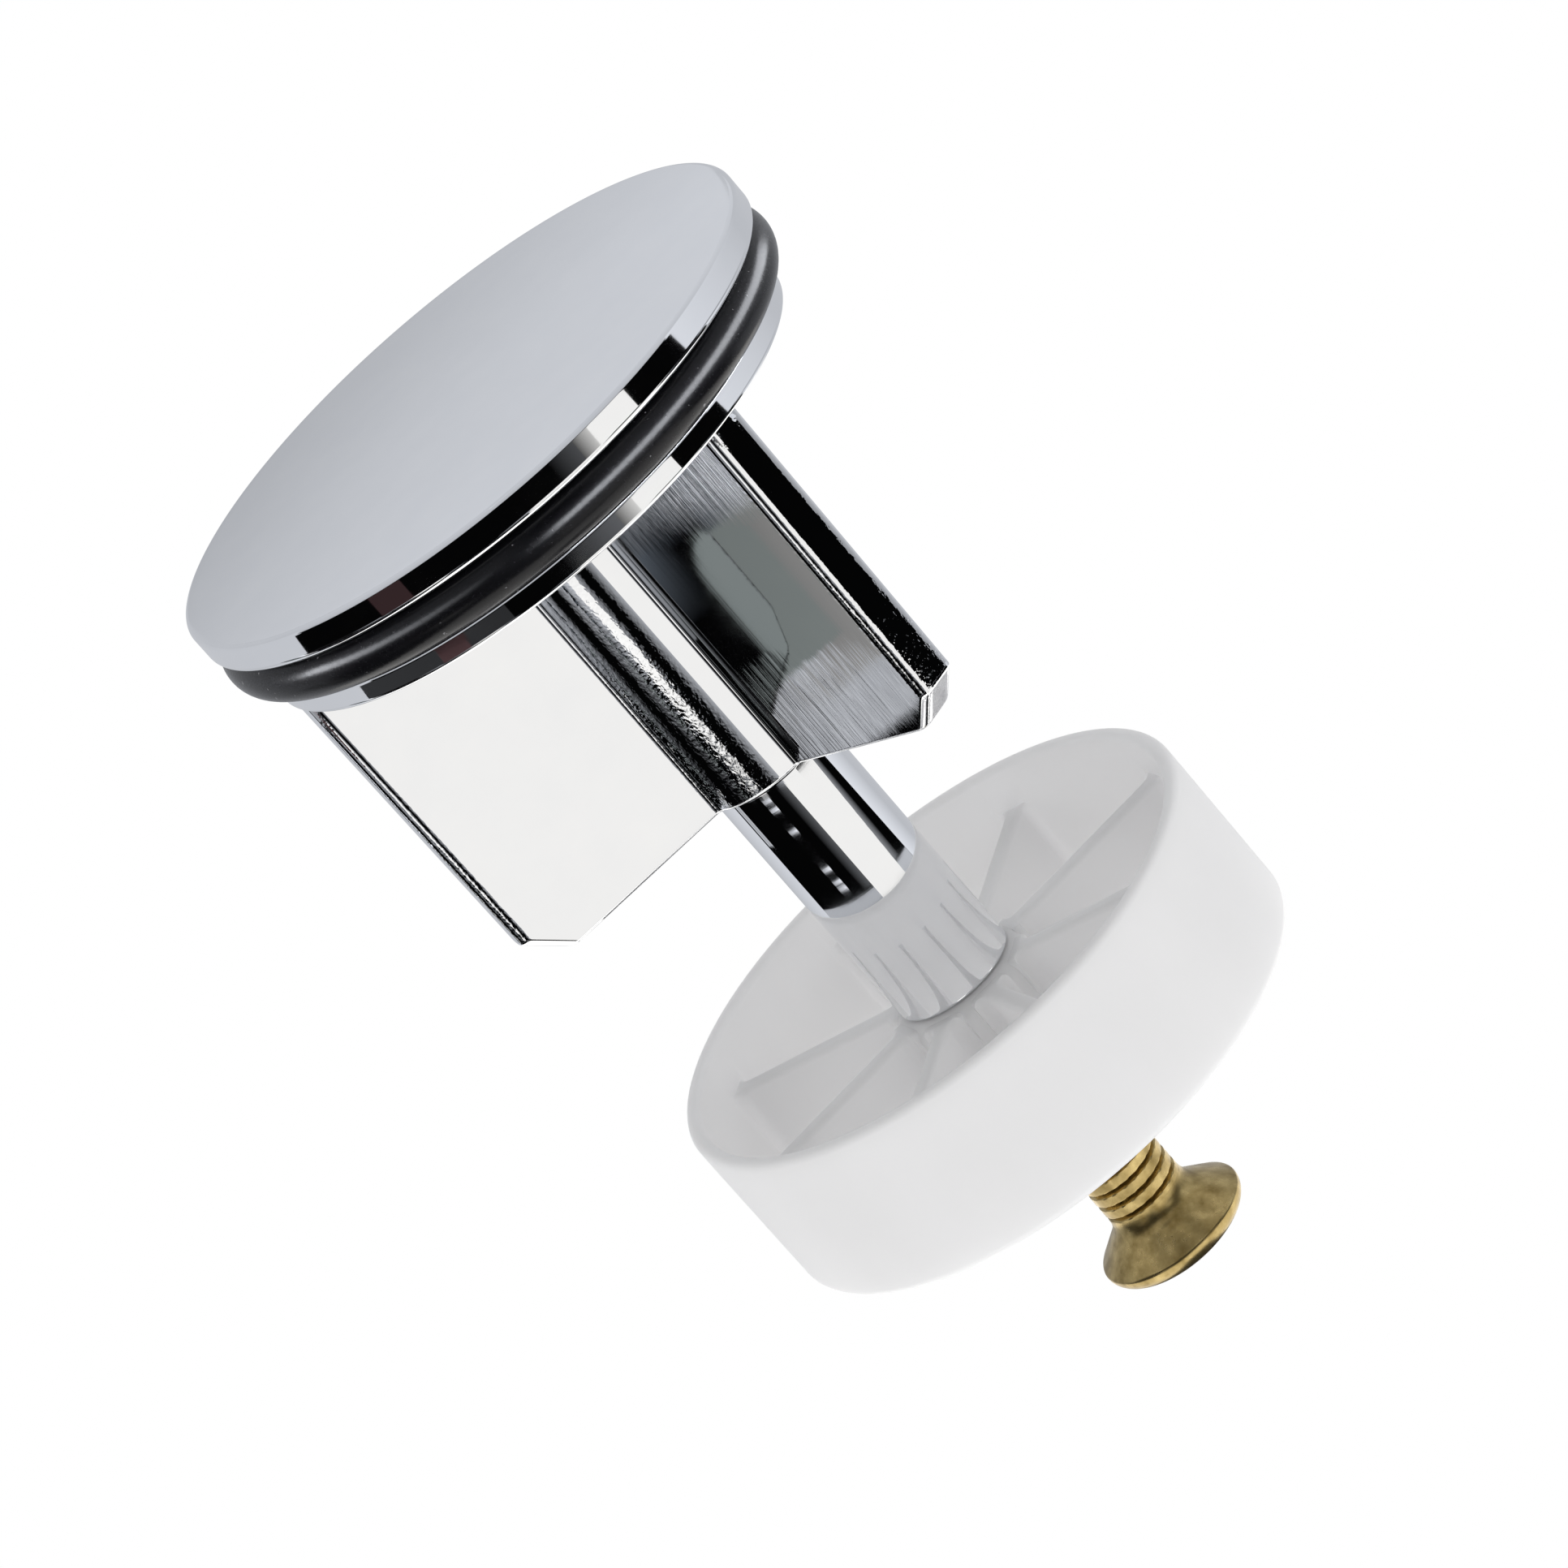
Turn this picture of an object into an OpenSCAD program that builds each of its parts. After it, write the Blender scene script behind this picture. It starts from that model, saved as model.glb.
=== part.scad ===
// Pop-up plug of a basin waste: a chromed cap with its seal ring, a winged guide body
// and stem on one stud, a plastic guide cup and a brass height screw with its lock nut.
// Millimetres, +Z up. The origin is on the axis, in the middle plane of the seal ring,
// where the plug seats in the waste.

/* [Cap] */
// Diameter of the cap
cap_d = 40; // [36:0.5:50]
// Thickness of the cap's disc at its edge
cap_h = 2; // [1.6:0.1:3.5]
// Rise of the faintly domed top face
cap_dome = 0.35; // [0.1:0.05:1]
// Rounding of the cap's top edge
cap_edge_r = 0.35; // [0.2:0.05:0.6]
// Bevel of the cap's lower edge
cap_under_bevel = 0.4; // [0.2:0.05:0.6]
// Set-back of the flange below the seal from the cap's edge
flange_inset = 1.55; // [1:0.05:1.6]
// Thickness of the flange below the seal
flange_h = 1.5; // [1.2:0.1:2.5]
// Bevel of the flange's edges
flange_bevel = 0.25; // [0.1:0.05:0.3]

/* [Seal ring] */
// Reach of the seal ring beyond the cap's edge
seal_reach = 0; // [-0.3:0.05:0.6]
// Section diameter of the seal ring
seal_section = 3; // [2.6:0.1:3.6]
// Play between the seal ring and its groove
seal_play = 0.05; // [0.02:0.01:0.1]

/* [Guide body] */
// Height of the guide body below the flange
body_h = 21.9; // [18:0.1:32]
// Diameter of the round column
column_d = 8.8; // [8.6:0.1:11]
// Number of wings
wing_count = 3; // [3:1:5]
// Thickness of a wing
wing_t = 3; // [1.6:0.1:3.5]
// Set-back of a wing's top from the flange's edge
wing_inset = 0.35; // [0.3:0.05:3]
// Narrowing of a wing's reach from its top down to its bottom chamfer
wing_taper = 0.15; // [0.05:0.05:2]
// Chamfer on the bottom corner of a wing
wing_chamfer = 2.2; // [1:0.1:4]

/* [Joining stud] */
// Diameter of the stud that runs through the guide body, from the cap to the stem
stud_d = 5; // [4:0.5:6]
// Depth of the stud in the cap
stud_cap_depth = 3.6; // [2.5:0.1:4]
// Depth of the stud in the stem
stud_stem_depth = 6; // [4:0.5:7]
// Bevel on the ends of the stud
stud_bevel = 0.5; // [0.2:0.1:1]
// Play of the stud in its holes, on the radius
stud_play = 0.02; // [0.01:0.01:0.05]

/* [Stem] */
// Diameter of the stem
stem_d = 7.9; // [7.7:0.1:8.6]
// Length of the stem that shows, from the wings to the hub of the cup
stem_h = 17.95; // [17:0.05:22]
// Bevel on the stem's edges
stem_bevel = 0.2; // [0.1:0.05:0.4]
// Diameter of the stem's tail in the hub of the cup
tail_d = 7; // [6.8:0.1:7.2]
// Length of the tail in the hub
tail_h = 6; // [3:0.5:8]
// Play of the tail in the hub, on the radius
tail_play = 0.02; // [0.01:0.01:0.05]

/* [Guide cup] */
// Outside diameter of the cup
cup_d = 36.3; // [30:0.1:40]
// Height of the cup
cup_h = 11.1; // [9:0.1:16]
// Wall thickness of the cup
cup_wall = 1; // [1:0.1:1.6]
// Rounding of the cup's lower edge, outside
cup_round = 0.5; // [0.3:0.05:0.55]
// Rounding of the cup's rim and of its lower edge, inside
rim_round = 0.4; // [0.15:0.05:0.4]
// Depth of the hub below the rim
hub_drop = 2.7; // [1:0.1:4]
// Depth of the webs below the hub's top
web_drop = 0.2; // [0.1:0.1:1.5]
// Height of the webs' lower edges above the cup's bottom
web_lift = 0.6; // [0.2:0.1:3]
// Number of webs between the hub and the wall
web_count = 8; // [4:1:10]
// Thickness of a web
web_t = 1.2; // [0.8:0.1:1.8]
// Turn of the cup on the stem
cup_turn = 7; // [0:1:45]
// Diameter of the hub
hub_d = 9.4; // [9.2:0.1:13]

/* [Height screw] */
// Diameter of the screw's shank
screw_d = 5.3; // [4:0.1:5.4]
// Length of the screw with its head
screw_l = 26; // [23:0.5:27]
// Largest diameter of the screw's head
head_d = 10; // [8.5:0.1:11]
// Height of the head's countersunk cone, from the neck to the largest diameter
head_cone = 2.05; // [1.6:0.05:2.6]
// Rounding between the cone and the largest diameter
head_edge_r = 0.3; // [0.1:0.05:0.4]
// Depth of the rounded face below the largest diameter
head_bulge = 1.25; // [0.8:0.05:1.6]
// Diameter of the flat in the middle of the face
face_d = 6.4; // [5.6:0.1:8]
// Length of the screw that stands out below the lock nut, with its head
screw_out = 11.6; // [11:0.1:14]
// Travel of the screw above this setting
screw_travel = 4; // [3:0.1:4]
// Room above the screw's tip at the end of its travel
tip_gap = 0.8; // [0.5:0.1:1.2]
// Length of the cross recess in the head, from end to end
drive_l = 4; // [3:0.1:4.6]
// Width of the arms of the cross recess
drive_w = 1; // [0.6:0.1:1.2]
// Depth of the cross recess
drive_depth = 1.6; // [0.8:0.1:2]
// Bevel on the tip of the screw
tip_bevel = 0.6; // [0.3:0.1:1]
// Running play of the screw in its thread, on the radius
screw_play = 0.05; // [0.02:0.01:0.1]

/* [Lock nut] */
// Width of the lock nut across its flats
nut_af = 8; // [7:0.5:10]
// Height of the lock nut
nut_h = 2.7; // [2:0.1:4]

/* [Hidden] */
$fn = 96;
ARC_STEPS = 6;
DOME_STEPS = 8;
OVER = 1;

cap_r = cap_d / 2;
groove_half = seal_section / 2 + seal_play;
seal_r = cap_r + seal_reach;
groove_r = seal_r - seal_section - seal_play;
seal_ring_r = seal_r - seal_section / 2;
cap_under_z = groove_half;
cap_edge_z = cap_under_z + cap_h;
cap_flat_r = cap_r - cap_edge_r;
flange_r = cap_r - flange_inset;
flange_top_z = -groove_half;
flange_low_z = flange_top_z - flange_h;

body_top_z = flange_low_z;
body_low_z = body_top_z - body_h;
column_r = column_d / 2;
wing_pitch = 360 / wing_count;
wing_top_r = flange_r - wing_inset;
wing_low_r = wing_top_r - wing_taper;

stem_top_z = body_low_z;
stem_low_z = stem_top_z - stem_h;
stem_r = stem_d / 2;
tail_r = tail_d / 2;
tail_low_z = stem_low_z - tail_h;
stud_hole_r = stud_d / 2 + stud_play;
stud_top_z = flange_low_z + stud_cap_depth;
stud_low_z = stem_top_z - stud_stem_depth;

cup_r = cup_d / 2;
hub_top_z = stem_low_z;
web_top_z = hub_top_z - web_drop;
cup_top_z = hub_top_z + hub_drop;
cup_low_z = cup_top_z - cup_h;
inner_r = cup_r - cup_wall;
web_end_r = cup_r - cup_wall / 2;
web_low_z = cup_low_z + web_lift;

nut_top_z = cup_low_z;
nut_low_z = nut_top_z - nut_h;
nut_corner_r = nut_af / 2 / cos(30);
nut_bevel = nut_corner_r - nut_af / 2;

head_r = head_d / 2;
screw_r = screw_d / 2;
face_r = face_d / 2;
head_face_z = nut_low_z - screw_out;
head_wide_z = head_face_z + head_bulge;
neck_z = head_wide_z + head_cone;
head_slope = atan2(head_r - screw_r, head_cone);
screw_tip_z = head_face_z + screw_l;
thread_r = screw_r + screw_play;
thread_top_z = screw_tip_z + screw_travel + tip_gap;

// Points on an arc about [cx, cz], from one angle to another
function arc(cx, cz, r, from, to) =
    [for (i = [0:ARC_STEPS]) let (a = from + (to - from) * i / ARC_STEPS)
        [cx + r * cos(a), cz + r * sin(a)]];

// Points on the cap's domed top, from its edge to the axis
function dome() =
    [for (i = [1:DOME_STEPS]) let (q = 1 - i / DOME_STEPS)
        [cap_flat_r * q, cap_edge_z + cap_dome * (1 - q * q)]];

// Points on the rounded face of the screw's head, from its flat out to its largest diameter
function bulge() =
    [for (i = [0:ARC_STEPS]) let (a = 90 * i / ARC_STEPS)
        [face_r + (head_r - face_r) * sin(a), head_wide_z - head_bulge * cos(a)]];

// Section of the cup's wall, with its rounded rim and lower edge
function cup_wall_section() = concat(
    arc(inner_r + rim_round, cup_low_z + rim_round, rim_round, 180, 270),
    arc(cup_r - cup_round, cup_low_z + cup_round, cup_round, -90, 0),
    arc(cup_r - rim_round, cup_top_z - rim_round, rim_round, 0, 90),
    arc(inner_r + rim_round, cup_top_z - rim_round, rim_round, 90, 180));

// Cap and flange turned from one piece, with the seal's groove between them
module cap() {
    color("gainsboro") difference() {
        rotate_extrude() polygon(concat(
            [[0, flange_low_z],
             [flange_r - flange_bevel, flange_low_z],
             [flange_r, flange_low_z + flange_bevel],
             [flange_r, flange_top_z - flange_bevel],
             [flange_r - flange_bevel, flange_top_z],
             [groove_r, flange_top_z],
             [groove_r, cap_under_z],
             [cap_r - cap_under_bevel, cap_under_z],
             [cap_r, cap_under_z + cap_under_bevel]],
            arc(cap_flat_r, cap_edge_z - cap_edge_r, cap_edge_r, 0, 90),
            dome()));
        translate([0, 0, flange_low_z - OVER])
            cylinder(r = stud_hole_r, h = stud_cap_depth + stud_play + OVER);
    }
}

module seal_ring() {
    color("black") rotate_extrude() translate([seal_ring_r, 0]) circle(d = seal_section);
}

// Threaded stud that holds the cap, the guide body and the stem together
module joining_stud() {
    color("goldenrod") rotate_extrude() polygon([
        [0, stud_low_z],
        [stud_d / 2 - stud_bevel, stud_low_z],
        [stud_d / 2, stud_low_z + stud_bevel],
        [stud_d / 2, stud_top_z - stud_bevel],
        [stud_d / 2 - stud_bevel, stud_top_z],
        [0, stud_top_z]]);
}

// Flat radial blade of the guide body
module wing(angle) {
    rotate([0, 0, angle]) translate([0, -wing_t / 2, body_low_z]) cube([wing_top_r + OVER, wing_t, body_h]);
}

// Drawn star section, turned to its tapered reach and chamfered below
module guide_body() {
    color("lightgray") difference() {
        intersection() {
            union() {
                translate([0, 0, body_low_z]) cylinder(r = column_r, h = body_h);
                for (i = [0:wing_count - 1]) wing(180 + i * wing_pitch);
            }
            rotate_extrude() polygon([
                [0, body_low_z],
                [wing_low_r - wing_chamfer, body_low_z],
                [wing_low_r, body_low_z + wing_chamfer],
                [wing_top_r, body_top_z],
                [0, body_top_z]]);
        }
        translate([0, 0, body_low_z - OVER]) cylinder(r = stud_hole_r, h = body_h + 2 * OVER);
    }
}

// Plain shaft with a tail below, drilled for the stud above and for the screw below
module stem() {
    color("silver") difference() {
        rotate_extrude() polygon([
            [0, tail_low_z],
            [tail_r, tail_low_z],
            [tail_r, stem_low_z],
            [stem_r - stem_bevel, stem_low_z],
            [stem_r, stem_low_z + stem_bevel],
            [stem_r, stem_top_z - stem_bevel],
            [stem_r - stem_bevel, stem_top_z],
            [0, stem_top_z]]);
        translate([0, 0, stud_low_z - stud_play])
            cylinder(r = stud_hole_r, h = stud_stem_depth + stud_play + OVER);
        translate([0, 0, tail_low_z - OVER]) cylinder(r = thread_r, h = thread_top_z - tail_low_z + OVER);
    }
}

// Flat web from the hub to the middle of the cup's wall
module web(angle) {
    rotate([0, 0, angle]) translate([0, -web_t / 2, web_low_z]) cube([web_end_r, web_t, web_top_z - web_low_z]);
}

// Open wheel: a round wall, a hub and the webs between them
module guide_cup() {
    color("whitesmoke") difference() {
        union() {
            rotate_extrude() polygon(cup_wall_section());
            translate([0, 0, cup_low_z]) cylinder(d = hub_d, h = hub_top_z - cup_low_z);
            for (i = [0:web_count - 1]) web(cup_turn + i * 360 / web_count);
        }
        translate([0, 0, cup_low_z - OVER]) cylinder(r = tail_r + tail_play, h = cup_h + 2 * OVER);
    }
}

// Thin hexagon nut with bevelled corners, tight against the hub
module lock_nut() {
    color("goldenrod") difference() {
        intersection() {
            translate([0, 0, nut_low_z]) cylinder(r = nut_corner_r, h = nut_h, $fn = 6);
            rotate_extrude() polygon([
                [0, nut_low_z],
                [nut_af / 2, nut_low_z],
                [nut_corner_r + nut_bevel, nut_low_z + nut_bevel],
                [nut_corner_r + nut_bevel, nut_top_z - nut_bevel],
                [nut_af / 2, nut_top_z],
                [0, nut_top_z]]);
        }
        translate([0, 0, nut_low_z - OVER]) cylinder(r = thread_r, h = nut_h + 2 * OVER);
    }
}

// Arm of the cross recess, through the axis
module drive_arm(angle) {
    rotate([0, 0, angle]) translate([-drive_l / 2, -drive_w / 2, head_face_z - OVER])
        cube([drive_l, drive_w, drive_depth + OVER]);
}

// Countersunk screw, head down, with a rounded face and a cross recess in it
module height_screw() {
    color("darkkhaki") difference() {
        rotate_extrude() polygon(concat(
            [[0, head_face_z]],
            bulge(),
            arc(head_r - head_edge_r, head_wide_z, head_edge_r, 0, head_slope),
            [[screw_r, neck_z],
             [screw_r, screw_tip_z - tip_bevel],
             [screw_r - tip_bevel, screw_tip_z],
             [0, screw_tip_z]]));
        drive_arm(0);
        drive_arm(90);
    }
}

cap();
seal_ring();
joining_stud();
guide_body();
stem();
guide_cup();
lock_nut();
height_screw();
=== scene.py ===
"""Finish of a pop-up basin plug: turned chrome, a rubber ring, a milky moulded cup and a brass screw.

Every shape is a grid of points worked out in millimetres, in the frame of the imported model.
"""

import math

import bmesh
import bpy
import numpy as np
from mathutils import Matrix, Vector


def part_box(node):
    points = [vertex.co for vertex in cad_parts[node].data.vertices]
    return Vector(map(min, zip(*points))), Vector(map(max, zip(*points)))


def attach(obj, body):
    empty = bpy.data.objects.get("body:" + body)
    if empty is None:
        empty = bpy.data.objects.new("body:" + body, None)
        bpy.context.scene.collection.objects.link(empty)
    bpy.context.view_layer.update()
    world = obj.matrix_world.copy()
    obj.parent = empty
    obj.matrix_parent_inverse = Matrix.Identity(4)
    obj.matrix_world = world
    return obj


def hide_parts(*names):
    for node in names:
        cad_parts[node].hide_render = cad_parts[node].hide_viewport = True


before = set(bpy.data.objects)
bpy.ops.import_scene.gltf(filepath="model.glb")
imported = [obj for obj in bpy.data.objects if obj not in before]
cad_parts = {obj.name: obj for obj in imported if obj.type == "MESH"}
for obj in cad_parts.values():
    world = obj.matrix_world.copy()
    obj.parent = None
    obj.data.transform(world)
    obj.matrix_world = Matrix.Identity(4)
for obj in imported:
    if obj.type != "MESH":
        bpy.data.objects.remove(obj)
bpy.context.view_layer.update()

MM = 0.001
TURN = 2 * np.pi
ROUND_STEPS = 7
TIGHT = 0.03
EDGE_GUARD = 0.2
MERGE_DISTANCE = 1e-4
SMOOTH_ANGLE = math.radians(32)

# Camera, as the photograph was taken
IMAGE_PX = 1932
SENSOR = 36.0
FOCAL_PX = 8300
CAMERA_AZIMUTH = -5.0
CAMERA_ELEVATION = 20.32
CAMERA_ROLL = 41.02
CAMERA_DISTANCE = 391.4
CAMERA_SIDESTEP = -0.2
AIM_HEIGHT = -26.85
CLIP_START = 0.01


def levels(node):
    """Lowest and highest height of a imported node, in millimetres."""
    low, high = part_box(node)
    return low.z / MM, high.z / MM


def reach(node):
    """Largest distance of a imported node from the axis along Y, in millimetres."""
    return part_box(node)[1].y / MM


# Points, grids and meshes


def arc(centre, radius, start, stop, steps=ROUND_STEPS):
    """Points on a circle: centre + radius (cos t, sin t), with t from start to stop in degrees."""
    t = np.radians(np.linspace(start, stop, steps))
    return np.stack([centre[0] + radius * np.cos(t), centre[1] + radius * np.sin(t)], axis=-1)


def rounded(corners, closed=False):
    """Outline through (r, z, rounding) corners, each rounded by the arc that touches both its sides.

    A point close outside each end of an arc keeps the straight sides flat in the shading.
    """
    spots = np.array([corner[:2] for corner in corners], float)
    runs = []
    for i, corner in enumerate(corners):
        radius = corner[2]
        inner = closed or 0 < i < len(corners) - 1
        if radius <= 0 or not inner:
            runs.append(spots[i:i + 1])
            continue
        back = spots[i - 1] - spots[i]
        on = spots[(i + 1) % len(spots)] - spots[i]
        back /= np.linalg.norm(back)
        on /= np.linalg.norm(on)
        half = math.acos(np.clip(back @ on, -1, 1)) / 2
        touch = radius / math.tan(half)
        centre = spots[i] + (back + on) / np.linalg.norm(back + on) * radius / math.sin(half)
        first = spots[i] + back * touch - centre
        last = spots[i] + on * touch - centre
        start = math.degrees(math.atan2(first[1], first[0]))
        turn = math.degrees(math.atan2(last[1], last[0])) - start
        turn = (turn + 180) % 360 - 180
        runs.append((spots[i] + back * (touch + TIGHT))[None])
        runs.append(arc(centre, radius, start, start + turn))
        runs.append((spots[i] + on * (touch + TIGHT))[None])
    return np.concatenate(runs)


def revolved(outline, count):
    """Grid of a turned shape: (r cos t, r sin t, z) for each outline point and each angle t."""
    t = np.arange(count) * TURN / count
    r, z = outline[:, 0, None], outline[:, 1, None]
    return np.stack([r * np.cos(t), r * np.sin(t), z + 0 * t], axis=-1)


def turn_outwards(mesh):
    """Merges the mesh's seams and poles and turns every face outwards."""
    work = bmesh.new()
    work.from_mesh(mesh)
    bmesh.ops.remove_doubles(work, verts=work.verts, dist=MERGE_DISTANCE * MM)
    bmesh.ops.recalc_face_normals(work, faces=work.faces)
    if work.calc_volume(signed=True) < 0:
        bmesh.ops.reverse_faces(work, faces=work.faces)
    work.to_mesh(mesh)
    work.free()


def grid_mesh(name, grid, loop=False, capped=False):
    """Mesh of a grid whose columns run round it: a face between each four neighbours.

    loop joins the last row to the first, capped closes both ends with one face each.
    """
    rows, columns = grid.shape[:2]
    index = np.arange(rows * columns).reshape(rows, columns)
    here = index if loop else index[:-1]
    up = np.roll(index, -1, axis=0) if loop else index[1:]
    quads = np.stack([here, np.roll(here, -1, axis=1), np.roll(up, -1, axis=1), up], axis=-1)
    faces = quads.reshape(-1, 4).tolist()
    if capped:
        faces += [index[0, ::-1].tolist(), index[-1].tolist()]
    mesh = bpy.data.meshes.new(name)
    mesh.from_pydata((grid.reshape(-1, 3) * MM).tolist(), [], faces)
    turn_outwards(mesh)
    return mesh


def merged(name, operation, body, others):
    """The body's mesh joined with the others, or cut by them."""
    made = [bpy.data.objects.new(name, mesh) for mesh in [body, *others]]
    group = bpy.data.collections.new(name)
    bpy.context.scene.collection.children.link(group)
    bpy.context.scene.collection.objects.link(made[0])
    for tool in made[1:]:
        group.objects.link(tool)
    step = made[0].modifiers.new(operation, "BOOLEAN")
    step.operation = operation
    step.operand_type = "COLLECTION"
    step.collection = group
    step.solver = "MANIFOLD"
    graph = bpy.context.evaluated_depsgraph_get()
    result = bpy.data.meshes.new_from_object(made[0].evaluated_get(graph))
    for thing in made:
        bpy.data.objects.remove(thing)
    bpy.data.collections.remove(group)
    return result


def show(name, mesh, finish, node, body):
    """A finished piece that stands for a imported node, moves with its body and has its finish."""
    mesh.shade_smooth()
    mesh.set_sharp_from_angle(angle=SMOOTH_ANGLE)
    mesh.materials.clear()
    mesh.materials.append(finish)
    piece = bpy.data.objects.new(name, mesh)
    bpy.context.scene.collection.objects.link(piece)
    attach(piece, body)
    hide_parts(node)
    return piece


# Finishes


def new_finish(name, **sockets):
    """A material whose main shader has these constants."""
    finish = bpy.data.materials.new(name)
    finish.use_nodes = True
    shader = finish.node_tree.nodes["Principled BSDF"]
    for socket, value in sockets.items():
        shader.inputs[socket.replace("_", " ")].default_value = value
    return finish, finish.node_tree, shader


def add(tree, kind, **sockets):
    """A node of that kind, with its sockets set by name or joined to another node's output."""
    made = tree.nodes.new(kind)
    for socket, value in sockets.items():
        target = made.inputs[socket.replace("_", " ")]
        if isinstance(value, bpy.types.NodeSocket):
            tree.links.new(value, target)
        else:
            target.default_value = value
    return made


def place(tree, scale=(1, 1, 1)):
    """Object coordinates in millimetres, stretched by scale."""
    coords = tree.nodes.new("ShaderNodeTexCoord")
    wide = tuple(s / MM for s in scale)
    return add(tree, "ShaderNodeMapping", Vector=coords.outputs["Object"], Scale=wide).outputs[0]


def noise(tree, vector, scale, detail=4.0, rough=0.55):
    """Cloudy pattern with scale spots to the millimetre."""
    return add(tree, "ShaderNodeTexNoise", Vector=vector, Scale=scale, Detail=detail,
               Roughness=rough).outputs["Fac"]


def spread(tree, value, low, high, start=0.0, stop=1.0):
    """value from start to stop, mapped to low to high and held there."""
    mapped = add(tree, "ShaderNodeMapRange", Value=value, From_Min=start, From_Max=stop,
                 To_Min=low, To_Max=high)
    return mapped.outputs["Result"]


def boosted(tree, pattern, factor):
    """A pattern stretched about its middle, one half, by a factor."""
    return spread(tree, pattern, (1 - factor) / 2, (1 + factor) / 2)


# Where most of a cloudy pattern's values lie
CLOUD_RANGE = (0.3, 0.7)


def shine(tree, shader, pattern, low, high):
    """Roughness from low to high by a cloudy pattern."""
    tree.links.new(spread(tree, pattern, low, high, *CLOUD_RANGE), shader.inputs["Roughness"])


def tint(tree, shader, pattern, dark, light):
    """Base colour between dark and light by a pattern."""
    ramp = tree.nodes.new("ShaderNodeValToRGB")
    ramp.color_ramp.elements[0].color = (*dark, 1)
    ramp.color_ramp.elements[1].color = (*light, 1)
    tree.links.new(pattern, ramp.inputs["Fac"])
    tree.links.new(ramp.outputs["Color"], shader.inputs["Base Color"])


def bumped(tree, shader, height, strength, depth):
    """Fine relief of that depth in millimetres on the shader."""
    relief = add(tree, "ShaderNodeBump", Height=height, Strength=strength, Distance=depth * MM)
    tree.links.new(relief.outputs["Normal"], shader.inputs["Normal"])


CHROME_SHADES = ((0.84, 0.85, 0.87), (0.89, 0.895, 0.905))
CHROME_CLOUDS = 0.35
CHROME_DEPTH = 0.01
SOFT_CHROME = (0.02, 0.06)
CLEAR_CHROME = (0.01, 0.03)
CAP_RELIEF = 0.02
BODY_RELIEF = 0.4
STEM_RELIEF = 0.012


def polished_chrome(name, roughness, relief, height):
    """Chrome plate: nearly a mirror, hazy in faint clouds, with the relief that height(tree) gives."""
    finish, tree, shader = new_finish(name, Metallic=1.0)
    haze = noise(tree, place(tree), CHROME_CLOUDS)
    tint(tree, shader, haze, *CHROME_SHADES)
    shine(tree, shader, haze, *roughness)
    bumped(tree, shader, height(tree), relief, CHROME_DEPTH)
    return finish


# Drawn chrome: patterns (spots to the millimetre, detail, roughness), boosts, ranges between patterns
LINE_STRETCH = (1, 1, 0.012)
FINE_LINES = (2.6, 6.0, 0.65)
BOLD_LINES = (1.4, 5.0, 0.6)
GRAIN_STRETCH = (1, 1, 0.7)
GRAIN_SPOTS = (4.6, 1.5, 0.5)
CALM_BOOST = 0.06
UPPER_BOOST = 2.2
BOLD_BOOST = 4.2
FAINT_BOOST = 0.4
FLAKE_BOOST = 4.4
FLAT = 0.5
UPPER_START = (-9.0, -6.0)
BOLD_START = (-20.0, -17.0)
FLAKE_START = (-18.0, -5.0)
LEFT_WING_X = (-5.0, -4.0)
COLUMN_LEFT_X = (-1.0, -0.6)
COLUMN_SURFACE = (4.45, 4.75)
WING_END = (17.2, 17.4)


def drawn(tree):
    """Lengthwise drawing lines on the wings, bold below and calm on the left one, and a flaky grain.

    The grain lies on the column's left side and on the wings' ends, and grows downwards.
    """
    fine = noise(tree, place(tree, LINE_STRETCH), *FINE_LINES)
    bold = noise(tree, place(tree, LINE_STRETCH), *BOLD_LINES)
    grain = noise(tree, place(tree, GRAIN_STRETCH), *GRAIN_SPOTS)
    spot = add(tree, "ShaderNodeSeparateXYZ", Vector=place(tree))
    x, z = spot.outputs["X"], spot.outputs["Z"]
    calm = boosted(tree, fine, CALM_BOOST)
    upper = spread(tree, z, calm, boosted(tree, fine, UPPER_BOOST), *UPPER_START)
    lower = spread(tree, z, boosted(tree, bold, BOLD_BOOST), upper, *BOLD_START)
    wings = spread(tree, x, calm, lower, *LEFT_WING_X)
    faint = boosted(tree, grain, FAINT_BOOST)
    flakes = spread(tree, z, boosted(tree, grain, FLAKE_BOOST), faint, *FLAKE_START)
    column = spread(tree, x, flakes, FLAT, *COLUMN_LEFT_X)
    length = add(tree, "ShaderNodeVectorMath", Vector=place(tree, (1, 1, 0)))
    length.operation = "LENGTH"
    radius = length.outputs["Value"]
    inner = spread(tree, radius, column, wings, *COLUMN_SURFACE)
    return spread(tree, radius, inner, flakes, *WING_END)


TURNING_STRETCH = (0.1, 0.1, 1)
TURNING_LINES = 2.5


def turned(tree):
    """Fine turning lines round the axis."""
    return noise(tree, place(tree, TURNING_STRETCH), TURNING_LINES)


RUBBER_BLACK = (0.003, 0.003, 0.004)
DUST_GREY = (0.2, 0.2, 0.21)
DUST_SPOTS = 2.4
DUST_SHARE = (0.71, 0.76)
RUBBER_GRAIN = 6.0
RUBBER_SHINE = (0.2, 0.28)
RUBBER_RELIEF = (0.12, 0.03)


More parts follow.
